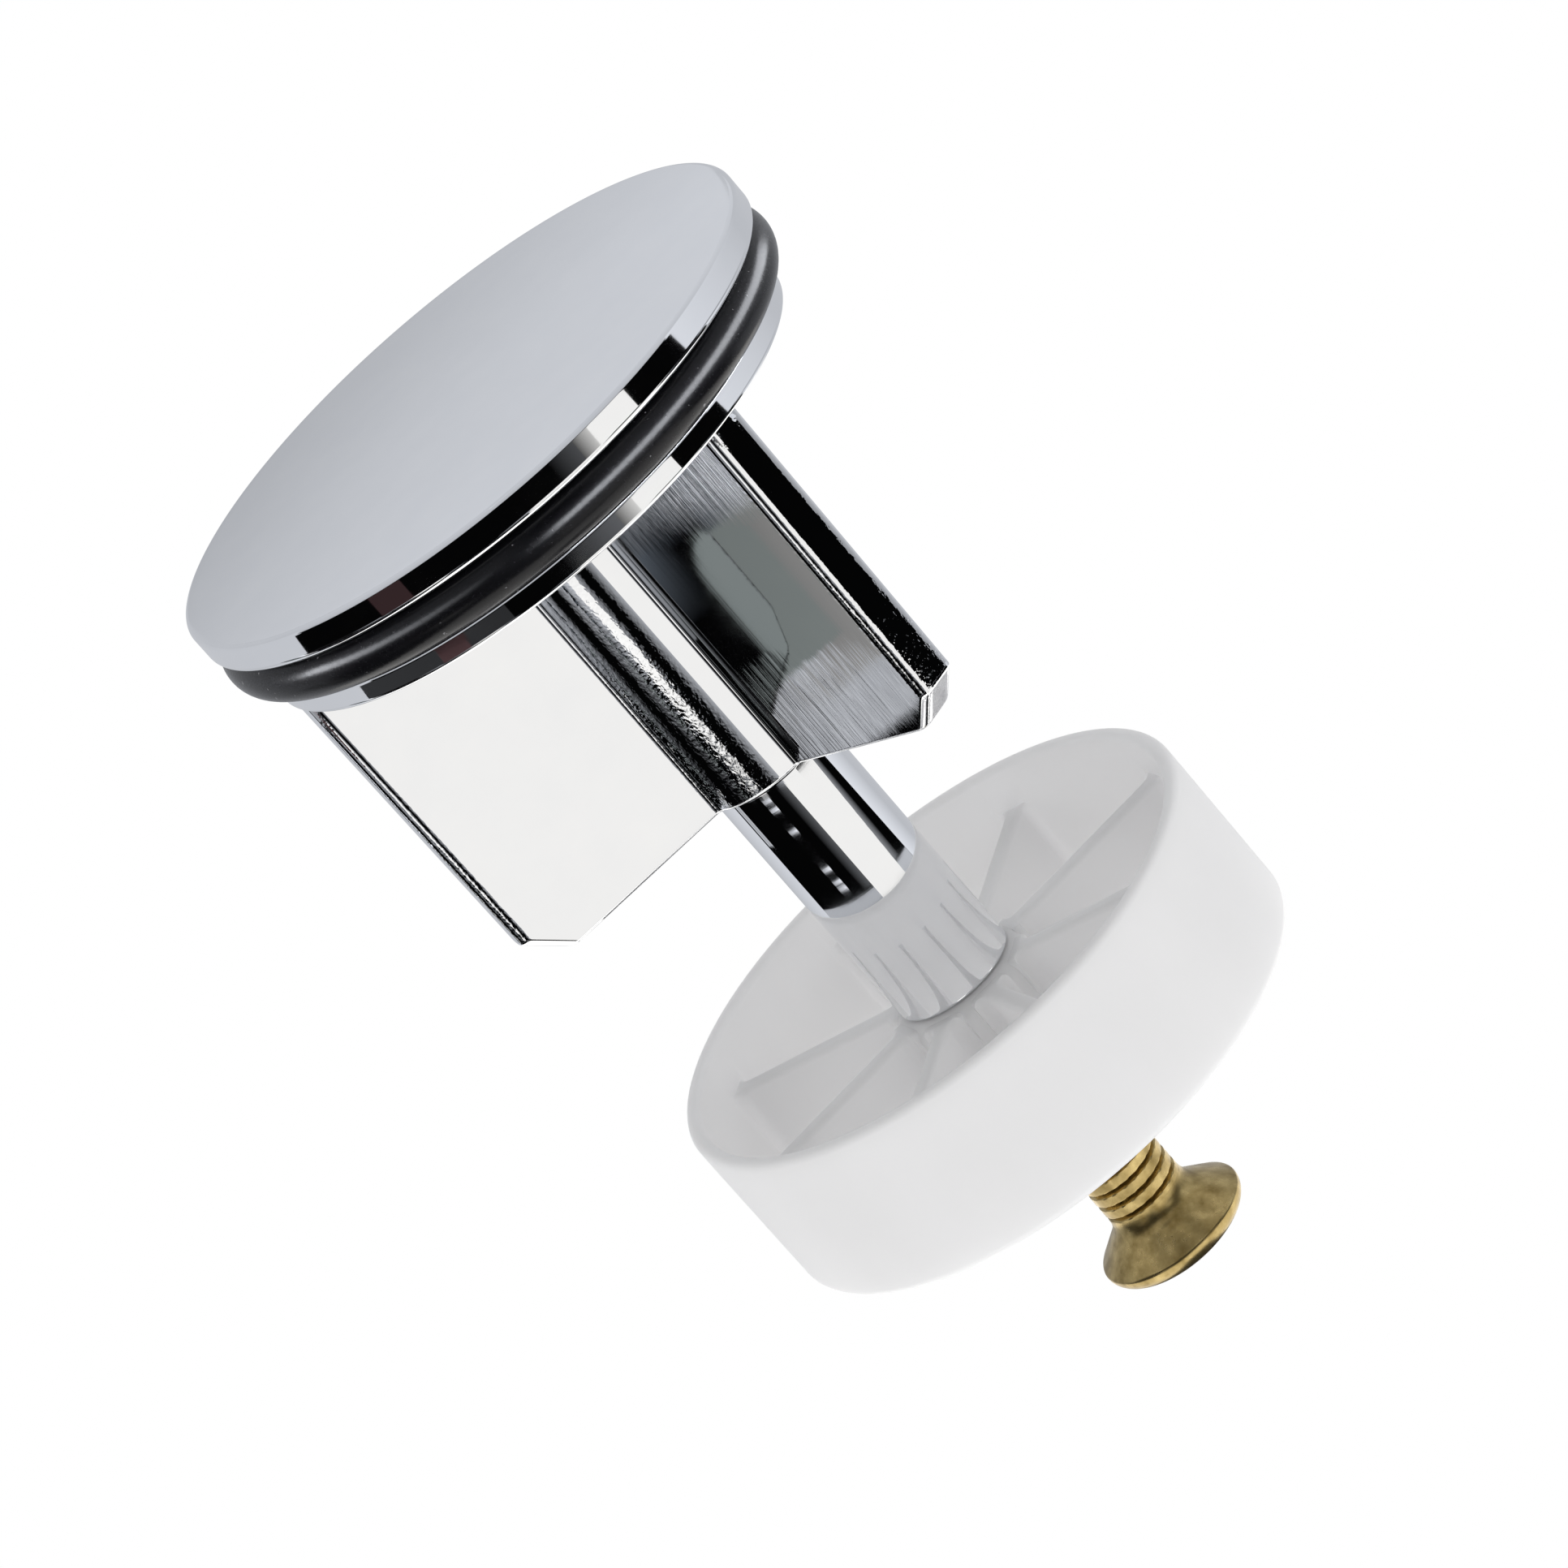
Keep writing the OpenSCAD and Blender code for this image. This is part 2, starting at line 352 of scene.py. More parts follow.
def seal_rubber():
    """Black rubber with a soft sheen, moulding grain and a few pale specks of dust."""
    finish, tree, shader = new_finish("black_seal_rubber", Specular_IOR_Level=0.2)
    spots = noise(tree, place(tree), DUST_SPOTS, detail=2.0)
    tint(tree, shader, spread(tree, spots, 0.0, 1.0, *DUST_SHARE), RUBBER_BLACK, DUST_GREY)
    grain = noise(tree, place(tree), RUBBER_GRAIN)
    shine(tree, shader, grain, *RUBBER_SHINE)
    bumped(tree, shader, grain, *RUBBER_RELIEF)
    return finish


MILKY_SHADES = ((0.82, 0.817, 0.824), (0.86, 0.857, 0.864))
LIGHT_DEPTH = 2.6
FLOW_STRETCH = (1, 1, 0.4)
FLOW_CLOUDS = 0.18
FLOW_WAVES = 0.9
FLOW_RELIEF = (0.04, 0.05)
MILKY_SHINE = (0.4, 0.5)


def milky_plastic():
    """Natural moulded plastic: milky, light passes a little way in, with a faint flow pattern."""
    finish, tree, shader = new_finish(
        "milky_moulded_plastic", Specular_IOR_Level=0.4, Subsurface_Weight=0.8,
        Subsurface_Scale=LIGHT_DEPTH * MM, Subsurface_Radius=(1.0, 1.0, 1.0))
    flow = noise(tree, place(tree, FLOW_STRETCH), FLOW_CLOUDS)
    tint(tree, shader, flow, *MILKY_SHADES)
    shine(tree, shader, flow, *MILKY_SHINE)
    bumped(tree, shader, noise(tree, place(tree), FLOW_WAVES), *FLOW_RELIEF)
    return finish


BRASS_SHADES = ((0.2, 0.135, 0.04), (0.56, 0.43, 0.19))
BRASS_PATCHES = 0.9
BRASS_DULLED = (0.22, 0.72)
BRASS_STRETCH = (0.15, 0.15, 1)
BRASS_LINES = 5.0
BRASS_SHINE = (0.36, 0.24)
BRASS_RELIEF = (0.15, 0.02)


def bare_brass():
    """Machined brass, dulled in patches, with turning lines round the axis."""
    finish, tree, shader = new_finish("bare_brass", Metallic=1.0)
    patches = noise(tree, place(tree), BRASS_PATCHES)
    tint(tree, shader, spread(tree, patches, 0.0, 1.0, *BRASS_DULLED), *BRASS_SHADES)
    shine(tree, shader, patches, *BRASS_SHINE)
    lines = noise(tree, place(tree, BRASS_STRETCH), BRASS_LINES, detail=2.0)
    bumped(tree, shader, lines, *BRASS_RELIEF)
    return finish


# Pieces

CAP_COUNT = 256
CAP_EDGE_HEIGHT = 3.55
CAP_EDGE_RUN = 1.0
CAP_EDGE_RISE = 0.05
CAP_DOME_STEPS = 12
CAP_TOP_ROUND = 0.28
CAP_LOW_ROUND = 0.42
FLANGE_RADIUS = 18.45
FLANGE_ROUND = 0.25
GROOVE_RADIUS = 16.95
GROOVE_HALF = 1.55


def cap_mesh():
    """Turned cap: a disc with rounded edges and a faint parabolic dome, the seal's groove, a flange."""
    low, top = levels("cap")
    radius = reach("cap")
    inside = radius - CAP_EDGE_RUN
    sides = rounded([
        (0, low, 0),
        (FLANGE_RADIUS, low, FLANGE_ROUND),
        (FLANGE_RADIUS, -GROOVE_HALF, FLANGE_ROUND),
        (GROOVE_RADIUS, -GROOVE_HALF, FLANGE_ROUND),
        (GROOVE_RADIUS, GROOVE_HALF, FLANGE_ROUND),
        (radius, GROOVE_HALF, CAP_LOW_ROUND),
        (radius, CAP_EDGE_HEIGHT, CAP_TOP_ROUND),
        (inside, CAP_EDGE_HEIGHT + CAP_EDGE_RISE, 0)])
    q = np.linspace(1, 0, CAP_DOME_STEPS) * inside / radius
    dome = np.stack([radius * q, CAP_EDGE_HEIGHT + (top - CAP_EDGE_HEIGHT) * (1 - q * q)], axis=-1)
    return grid_mesh("cap", revolved(np.concatenate([sides[:-1], dome]), CAP_COUNT))


SEAL_COUNT = 192
SEAL_SECTION_COUNT = 48


def seal_mesh():
    """Ring of round section: a circle carried round the axis."""
    low, top = levels("seal_ring")
    half = (top - low) / 2
    section = arc((reach("seal_ring") - half, (low + top) / 2), half, 0, 360, SEAL_SECTION_COUNT + 1)
    return grid_mesh("seal", revolved(section[:-1], SEAL_COUNT), loop=True)


WING_COUNT = 3
WING_START = 180.0
WING_HALF = 1.5
WING_TOP_REACH = 18.1
WING_LOW_REACH = 17.95
WING_CHAMFER = 2.2
WING_EDGE = 0.7
WING_SIDE_STEPS = 10
ROOT_FILLET = 0.5
COLUMN_RADIUS = 4.4
COLUMN_STEPS = 10
BODY_LOW_ROUND = 0.22


def along(a, b, steps):
    """Even steps from a to b, one row for each of their values."""
    share = np.linspace(0, 1, steps)
    return a[:, None] * (1 - share) + b[:, None] * share


def swept(x, y, radius, start, stop, steps=ROUND_STEPS):
    """Arcs about (x, y), one for each row: x + radius cos t, y + radius sin t, start to stop."""
    t = along(start, stop, steps)
    across = x[:, None] + radius[:, None] * np.cos(t)
    up = y[:, None] + radius[:, None] * np.sin(t)
    return np.stack([across, up], axis=-1)


def half_wing(column, half, tip, edge, fillet):
    """Outline of half a wing, from the middle of its end to the column half way to the next wing.

    The end lies on a circle of radius tip, the edge and the root are arcs that touch their sides.
    """
    zero = 0 * column
    edge_x = np.sqrt((tip - edge) ** 2 - (half - edge) ** 2)
    edge_angle = np.arctan2(half - edge, edge_x)
    root_x = np.sqrt((column + fillet) ** 2 - (half + fillet) ** 2)
    root_angle = np.arctan2(half + fillet, root_x)
    side_x = along(edge_x - TIGHT, root_x + TIGHT, WING_SIDE_STEPS)
    side_y = along(half, half, WING_SIDE_STEPS)
    return np.concatenate([
        swept(zero, zero, tip, zero, edge_angle),
        swept(edge_x, half - edge, edge, edge_angle, zero + np.pi / 2),
        np.stack([side_x, side_y], axis=-1),
        swept(root_x, half + fillet, fillet, zero - np.pi / 2, root_angle - np.pi),
        swept(zero, zero, column, root_angle, zero + np.pi / WING_COUNT, COLUMN_STEPS)], axis=1)


def winged_body_mesh():
    """Column with wings: a star outline carried down the axis, tapered, chamfered and rounded below.

    In the lower rounding the outline shrinks by d = q (1 - cos t) as the height falls by q sin t.
    """
    low, top = levels("guide_body")
    t = np.radians(np.linspace(0, 90, ROUND_STEPS))
    corner = low + WING_CHAMFER
    foot = low + BODY_LOW_ROUND
    bend = corner + np.array([EDGE_GUARD, TIGHT, -TIGHT, -EDGE_GUARD])
    straight = [top, (top + corner) / 2, *bend, foot + EDGE_GUARD, foot + TIGHT]
    z = np.concatenate([straight, foot - BODY_LOW_ROUND * np.sin(t)])
    shrink = np.concatenate([0 * z[:-ROUND_STEPS], BODY_LOW_ROUND * (1 - np.cos(t))])
    taper = WING_LOW_REACH + (WING_TOP_REACH - WING_LOW_REACH) * (z - corner) / (top - corner)
    tip = np.where(z > corner, taper, WING_LOW_REACH + z - corner) - shrink
    upper = half_wing(COLUMN_RADIUS - shrink, WING_HALF - shrink, tip, WING_EDGE - shrink,
                      ROOT_FILLET + shrink)
    lower = upper[:, ::-1] * (1, -1)
    sector = np.concatenate([lower[:, 1:], upper[:, 1:-1]], axis=1)
    x, y = sector[..., 0], sector[..., 1]
    turns = np.radians(WING_START + np.arange(WING_COUNT) * 360 / WING_COUNT)
    star = np.concatenate([
        np.stack([x * c - y * s, x * s + y * c], axis=-1)
        for c, s in zip(np.cos(turns), np.sin(turns))], axis=1)
    height = np.broadcast_to(z[:, None, None], star[..., :1].shape)
    return grid_mesh("body", np.concatenate([star, height], axis=-1), capped=True)


STEM_COUNT = 128
STEM_ROUND = 0.2
TAIL_RADIUS = 3.5
TAIL_HEIGHT = 6.0


def stem_mesh():
    """Turned shaft: a plain cylinder with rounded edges and a thinner tail in the cup's hub."""
    low, top = levels("stem")
    radius = reach("stem")
    seat = low + TAIL_HEIGHT
    outline = rounded([
        (0, low, 0),
        (TAIL_RADIUS, low, STEM_ROUND),
        (TAIL_RADIUS, seat, 0),
        (radius, seat, STEM_ROUND),
        (radius, top, STEM_ROUND),
        (0, top, 0)])
    return grid_mesh("stem", revolved(outline, STEM_COUNT))


CUP_COUNT = 192
CUP_WALL = 1.0
CUP_LOW_ROUND = 0.5
CUP_RIM_ROUND = 0.42
HUB_DROP = 2.7
HUB_RADIUS = 4.7
HUB_BORE = 3.52
HUB_ROUND = 0.3
HUB_SHOULDER = 1.1
WEB_DROP = 2.9
WEB_COUNT = 8
WEB_START = 7.0
WEB_HALF = 0.6
WEB_FILLET = 0.8
WEB_FILLET_STEPS = 8
WEB_OVERLAP = 0.5
WEB_LIFT = 0.6
WEB_TOP_ROUND = 0.4


def web_mesh(angle, low, high, inner, outer):
    """Web of the cup: a plate whose thickness flares where it meets the hub and the wall.

    Half thickness h(r) = WEB_HALF + f - sqrt(f^2 - (f - d)^2), with d the distance to the nearer end.
    """
    ends = (1 - np.cos(np.radians(np.linspace(0, 90, WEB_FILLET_STEPS)))) * WEB_FILLET
    flare_in, flare_out = inner + ends, (outer - ends)[::-1]
    middle = (inner + outer) / 2
    r = np.concatenate([[inner - WEB_OVERLAP], flare_in, [middle], flare_out, [outer + WEB_OVERLAP]])
    near = np.clip(np.minimum(r - inner, outer - r), 0, WEB_FILLET)
    half = WEB_HALF + WEB_FILLET - np.sqrt(WEB_FILLET ** 2 - (WEB_FILLET - near) ** 2)
    t = np.radians(np.linspace(0, 90, ROUND_STEPS))
    side = np.concatenate([[0, 0], WEB_TOP_ROUND * (1 - np.cos(t))])
    height = np.concatenate([[low, high - WEB_TOP_ROUND - TIGHT], high - WEB_TOP_ROUND * (1 - np.sin(t))])
    across = half[:, None] - side
    section = np.concatenate([across, -across[:, ::-1]], axis=1)
    tall = np.broadcast_to(np.concatenate([height, height[::-1]]), section.shape)
    c, s = math.cos(math.radians(angle)), math.sin(math.radians(angle))
    grid = np.stack([r[:, None] * c - section * s, r[:, None] * s + section * c, tall], axis=-1)
    return grid_mesh("web", grid, capped=True)


def cup_mesh():
    """Moulded cup: a turned wall with rounded edges, a hub and webs between them."""
    low, top = levels("guide_cup")
    radius = reach("guide_cup")
    wall = rounded([
        (radius - CUP_WALL, low, CUP_RIM_ROUND),
        (radius, low, CUP_LOW_ROUND),
        (radius, top, CUP_RIM_ROUND),
        (radius - CUP_WALL, top, CUP_RIM_ROUND)], closed=True)
    hub = rounded([
        (HUB_BORE, low, 0),
        (HUB_RADIUS, low, HUB_ROUND),
        (HUB_RADIUS, top - HUB_DROP, HUB_SHOULDER),
        (HUB_BORE, top - HUB_DROP, 0)], closed=True)
    solids = [grid_mesh("ring", revolved(outline, CUP_COUNT), loop=True) for outline in (wall, hub)]
    step = 360 / WEB_COUNT
    webs = [web_mesh(WEB_START + i * step, low + WEB_LIFT, top - WEB_DROP, HUB_RADIUS, radius - CUP_WALL)
            for i in range(WEB_COUNT)]
    return merged("cup", "UNION", solids[0], [solids[1], *webs])


SCREW_COUNT = 128
SCREW_RADIUS = 2.65
THREAD_PITCH = 0.965
THREAD_START = 0.557
THREAD_DEPTH = 0.42
THREAD_ROWS = 20
THREAD_LOW = 0.75
THREAD_HIGH = -47.0
THREAD_RUN_IN = 1 / 3
GROOVE_SHARE = 0.17
HEAD_BULGE = 1.25
HEAD_CONE = 2.05
HEAD_EDGE_ROUND = 0.3
FACE_RADIUS = 3.2
NECK_FILLET = 1.6
RECESS_LENGTH = 4.0
RECESS_WIDTH = 1.0
RECESS_DEPTH = 1.6
RECESS_CLEAR = 1.0
TIP_BEVEL = 0.6


def screw_head(low, head):
    """Outline of the screw's head: a flat, a quarter ellipse, a rounded edge, a cone, a filleted neck."""
    wide = low + HEAD_BULGE
    neck = wide + HEAD_CONE
    a = np.radians(np.linspace(0, 90, 2 * ROUND_STEPS))
    bulge_r = FACE_RADIUS + (head - FACE_RADIUS) * np.sin(a)
    bulge = np.stack([bulge_r, wide - HEAD_BULGE * np.cos(a)], axis=-1)
    slope = math.degrees(math.atan2(head - SCREW_RADIUS, HEAD_CONE))
    edge = arc((head - HEAD_EDGE_ROUND, wide), HEAD_EDGE_ROUND, 0, slope)
    cone = rounded([
        (*edge[-1], 0),
        (SCREW_RADIUS, neck, NECK_FILLET),
        (SCREW_RADIUS, neck + THREAD_LOW, 0)])
    return np.concatenate([[(0, low)], bulge, edge[1:], cone[1:]])


def box_mesh(low, high):
    """Box between two corners."""
    (a, c, e), (b, d, f) = low, high
    grid = np.array([[(a, c, z), (b, c, z), (b, d, z), (a, d, z)] for z in (e, f)], float)
    return grid_mesh("box", grid, capped=True)


def screw_mesh():
    """Screw with a helical thread: r = R - depth w(z / pitch - t / 360), w a narrow V at each turn.

    Its head has a cross recess in its face.
    """
    low, top = levels("height_screw")
    below = screw_head(low, reach("height_screw"))
    t = np.arange(SCREW_COUNT) * TURN / SCREW_COUNT
    foot = below[-1, 1]
    rows = int((THREAD_HIGH - foot) / THREAD_PITCH * THREAD_ROWS)
    z = np.linspace(foot, THREAD_HIGH, rows)[:, None]
    phase = (z / THREAD_PITCH - t / TURN + THREAD_START) % 1
    groove = np.clip(1 - np.abs(phase - 0.5) / GROOVE_SHARE, 0, 1)
    run_in = np.clip((z - foot) / (THREAD_RUN_IN * THREAD_PITCH), 0, 1)
    run_out = np.clip((THREAD_HIGH - z) / THREAD_PITCH, 0, 1)
    r = SCREW_RADIUS - THREAD_DEPTH * groove * run_in * run_out
    thread = np.stack([r * np.cos(t), r * np.sin(t), z + 0 * t], axis=-1)
    above = np.array([(SCREW_RADIUS, top - TIP_BEVEL), (SCREW_RADIUS - TIP_BEVEL, top), (0, top)])
    grid = np.concatenate([revolved(below[:-1], SCREW_COUNT), thread, revolved(above, SCREW_COUNT)])
    long, wide, deep = RECESS_LENGTH / 2, RECESS_WIDTH / 2, low + RECESS_DEPTH
    arms = [box_mesh((-x, -y, low - RECESS_CLEAR), (x, y, deep)) for x, y in ((long, wide), (wide, long))]
    return merged("screw", "DIFFERENCE", grid_mesh("screw", grid), arms)


NUT_COUNT = 144
NUT_BORE = 2.7
NUT_LEAD = 0.3
NUT_CORNER_CUT = 0.06
NUT_FACE_INSET = 0.05
NUT_EDGE_CUT = 0.12
NUT_CONE_SLOPE = 0.6


def nut_mesh():
    """Hexagon nut: the outline is a hexagon's radius h(t), cut back by a cone at both faces."""
    low, top = levels("lock_nut")
    flat = reach("lock_nut")
    t = np.arange(NUT_COUNT) * TURN / NUT_COUNT
    even = np.ones(NUT_COUNT)
    side = flat / np.cos((t + np.pi / 6) % (np.pi / 3) - np.pi / 6)
    hexagon = np.minimum(side, flat / math.cos(math.pi / 6) - NUT_CORNER_CUT)
    cut = NUT_EDGE_CUT + (hexagon - flat) * NUT_CONE_SLOPE
    bore = NUT_BORE * even
    lead = bore + NUT_LEAD
    face = (flat - NUT_FACE_INSET) * even
    foot, head = low * even, top * even
    r = np.stack([bore, lead, face, hexagon, hexagon, face, lead, bore])
    z = np.stack([foot + NUT_LEAD, foot, foot, foot + cut, head - cut, head, head, head - NUT_LEAD])
    return grid_mesh("nut", np.stack([r * np.cos(t), r * np.sin(t), z], axis=-1), loop=True)


# Studio

WARM_WHITE = (1.0, 0.987, 0.962)
COOL_GREY = (0.92, 0.945, 1.0)
BLUE_GREY = (0.75, 0.86, 1.0)
GREEN_GREY = (0.9, 1.0, 0.97)
DULL_RED = (1.0, 0.57, 0.6)


def bearing(azimuth):
    """Unit vectors (x, y) at these azimuths from the camera's side of the plug, to its right."""
    a = np.radians(azimuth) + math.radians(CAMERA_AZIMUTH)
    return np.sin(a), -np.cos(a)


def glow(name):
    """Plain light, as bright as the mesh's shade attribute says."""
    finish = bpy.data.materials.new(name)
    finish.use_nodes = True
    tree = finish.node_tree
    tree.nodes.clear()
    shade = tree.nodes.new("ShaderNodeAttribute")
    shade.attribute_name = "shade"
    light = add(tree, "ShaderNodeEmission", Color=shade.outputs["Color"])
    out = tree.nodes.new("ShaderNodeOutputMaterial")
    tree.links.new(light.outputs[0], out.inputs["Surface"])
    return finish


def staged(name, points, faces, colour, strength):
    """A shining thing of the studio that isn't part of the plug, its strength given point by point."""
    mesh = bpy.data.meshes.new(name)
    mesh.from_pydata((points.reshape(-1, 3) * MM).tolist(), [], faces)
    shade = mesh.attributes.new("shade", "FLOAT_COLOR", "POINT")
    tone = strength.reshape(-1, 1) * np.array([*colour, 0]) + (0, 0, 0, 1)
    shade.data.foreach_set("color", tone.astype(np.float32).ravel())
    mesh.materials.append(glow(name))
    thing = bpy.data.objects.new(name, mesh)
    bpy.context.scene.collection.objects.link(thing)
    return thing


def only_mirrored(thing):
    """Hides a thing of the studio from everything but mirrors, and returns it."""
    thing.visible_camera = False
    thing.visible_diffuse = False
    thing.visible_transmission = False
    thing.visible_shadow = False
    return thing


def panel(name, half, centre, colour, strength):
    """A level shining rectangle, with half its length and width given."""
    square = np.array([(-1, -1, 0), (1, -1, 0), (1, 1, 0), (-1, 1, 0)])
    return staged(name, square * (*half, 0) + centre, [(0, 1, 2, 3)], colour, strength * np.ones(4))


# Distances of the cards from the axis, and the points across and down each card
FAR = 165.0
NEAR = 150.0
BACK = 145.0
CLOSE = 140.0
CARD_COLUMNS = 41
CARD_ROWS = 9


def card(name, band, colour, top, low=None, distance=NEAR, corner=(1.0, 0.0)):
    """A curved card round the plug that only mirrors see, over a band of heights, its top and its foot.

    top and low are (left azimuth, right azimuth, left strength, right strength) at both, mixed between,
    and without low the card is alike from top to foot. The upper right corner is rounded over corner,
    its width in degrees and its drop d: at the share q of that width the edge is lower by
    d (1 - sqrt(1 - q^2)).
    """
    across = np.linspace(0, 1, CARD_COLUMNS)[:, None]
    down = np.linspace(0, 1, CARD_ROWS)
    height = band[0] + (band[1] - band[0]) * down
    left, right, dim, bright = [a + (b - a) * down for a, b in zip(top, low or top)]
    azimuth = left + (right - left) * across
    x, y = bearing(azimuth)
    q = np.clip((azimuth - right) / corner[0] + 1, 0, 1)
    height = height - corner[1] * (1 - np.sqrt(1 - q * q)) * (1 - down)
    points = np.stack([distance * x, distance * y, height], axis=-1)
    index = np.arange(x.size).reshape(x.shape)
    quads = np.stack([index[:-1, :-1], index[1:, :-1], index[1:, 1:], index[:-1, 1:]], axis=-1)
    strength = dim + (bright - dim) * across
    return only_mirrored(staged(name, points, quads.reshape(-1, 4).tolist(), colour, strength))


def shine_only_on(cards, piece):
    """Keeps the light of these cards for one piece; in all other mirrors they are clear."""
    group = bpy.data.collections.new("lit_" + piece.name)
    group.objects.link(piece)
    for thing in cards:
        thing.light_linking.receiver_collection = group
        tree = thing.active_material.node_tree
        both = tree.nodes.new("ShaderNodeAddShader")
        tree.links.new(tree.nodes["Emission"].outputs[0], both.inputs[0])
        tree.links.new(tree.nodes.new("ShaderNodeBsdfTransparent").outputs[0], both.inputs[1])
        tree.links.new(both.outputs[0], tree.nodes["Material Output"].inputs["Surface"])


FLOOR_HEIGHT = -95.0
FLOOR_HALF = 3000.0
GLINT_HEIGHT = -94.0
GLINT_HALF = 85.0
GLINT_STRENGTH = 1.5
SHADE_HALF = (10.0, 52.0)
SHADE_CENTRE = (0.0, 28.0, -93.0)
SHADE_STRENGTH = 0.03


def build_floor():
    """Pale floor, and in its place for mirrors a bright square with a dark strip behind the screw."""
    floor = panel("floor", (FLOOR_HALF, FLOOR_HALF), (0, 0, FLOOR_HEIGHT), (1, 1, 1), 1.0)
    floor.visible_glossy = False
    glint = panel("floor_card", (GLINT_HALF, GLINT_HALF), (0, 0, GLINT_HEIGHT), WARM_WHITE, GLINT_STRENGTH)
    only_mirrored(glint)
    only_mirrored(panel("floor_shade", SHADE_HALF, SHADE_CENTRE, COOL_GREY, SHADE_STRENGTH))


# Heights on the cards that bound what each piece mirrors towards the camera
SKY = 250.0
CAP_TOP = 46.0
SIDE_TOP = -30.0
RIM_TOP = -15.0
FLANGE_TOP = -41.5
BODY_TOP = -48.5
STREAK_FOOT = -66.0
STEM_TOP = -79.5
STEM_FOOT = -91.0
TABLE_TOP = -91.3
TABLE_FOOT = -92.6
SCREW_TOP = -94.0
LOWEST = -150.0


def build_rim_cards():
    """Cards that the cap's rim and the flange mirror, from the left to the right."""
    over, side = (CAP_TOP, SIDE_TOP), (SIDE_TOP, BODY_TOP)
    rim, flange = (RIM_TOP, FLANGE_TOP), (FLANGE_TOP, BODY_TOP)
    card("left_top", over, COOL_GREY, (-168, -90, 0.6, 0.67), (-180, -90, 0.6, 0.67))
    card("right_top", over, COOL_GREY, (61, 125, 0.85, 0.6), (61.7, 125, 0.85, 0.6))
    card("rim_left", side, COOL_GREY, (-180, -90, 0.6, 0.67), (-180, -100.7, 0.6, 0.67))
    card("rim_fade", rim, COOL_GREY, (8, 19, 0.0, 0.08), (8, 18, 0.0, 0.08))
    card("rim_edge", rim, WARM_WHITE, (19, 25, 0.1, 0.6), (18, 24, 0.1, 0.6))
    card("rim_white", rim, WARM_WHITE, (25, 38, 1.0, 1.0), (24, 41.3, 1.0, 1.0))
    card("rim_right", side, COOL_GREY, (61.7, 125, 0.85, 0.6), (71.1, 125, 0.82, 0.6))
    card("rim_red", rim, DULL_RED, (-61.5, -49, 0.037, 0.037), distance=CLOSE)
    card("flange_red", flange, DULL_RED, (-62, -50, 0.075, 0.075), distance=CLOSE)
    card("flange_dim", flange, COOL_GREY, (-98.7, -32, 0.04, 0.03))
    card("flange_fade", flange, COOL_GREY, (-8, 15, 0.0, 0.13))
    card("flange_edge", flange, WARM_WHITE, (15, 22.5, 0.13, 0.7))
    card("flange_white", flange, WARM_WHITE, (22.5, 41.6, 1.0, 1.0), (22.5, 43, 1.0, 1.0))


ZONE_TOP = -61.0
ZONE_FOOT = -75.0
WING_LOW = -78.5
WING_FOOT = -84.0
CORNER_ZONE = (-59.8, -77.0)
CORNER_ROUND = (1.2, 4.6)


def build_near_wing_cards():
    """Cards that the near wing mirrors: a grey zone with a round corner, brighter below and at the edge."""
    upper, zone, lower = (BODY_TOP, ZONE_TOP), (ZONE_TOP, ZONE_FOOT), (ZONE_FOOT, WING_FOOT)
    card("wing_shade", upper, BLUE_GREY, (-107.5, -104.9, 0.05, 0.11), (-107.5, -104.9, 0.03, 0.11))
    card("wing_light", upper, COOL_GREY, (-104.9, -99, 0.12, 2.0))
    card("wing_grey", zone, GREEN_GREY, (-112, -104.7, 0.16, 0.2), (-112, -104.7, 0.17, 0.22))
    card("wing_edge", (ZONE_TOP, WING_LOW), WARM_WHITE, (-104.7, -99, 0.2, 0.5), (-104.7, -99, 0.24, 0.6))
    card("wing_dim", lower, COOL_GREY, (-108.6, -106.9, 0.1, 0.75))
    card("wing_pale", lower, COOL_GREY, (-106.9, -105.6, 0.75, 0.36), (-106.9, -105.6, 0.75, 0.5))
    card("wing_low", (ZONE_FOOT, WING_LOW), WARM_WHITE, (-105.6, -104.7, 0.24, 0.24),
         (-105.6, -104.7, 0.26, 0.26))
    card("wing_foot", (WING_LOW, WING_FOOT), COOL_GREY, (-105.6, -99, 0.4, 0.6))
    card("corner_grey", CORNER_ZONE, GREEN_GREY, (-63.7, -62.1, 0.27, 0.27), corner=CORNER_ROUND)


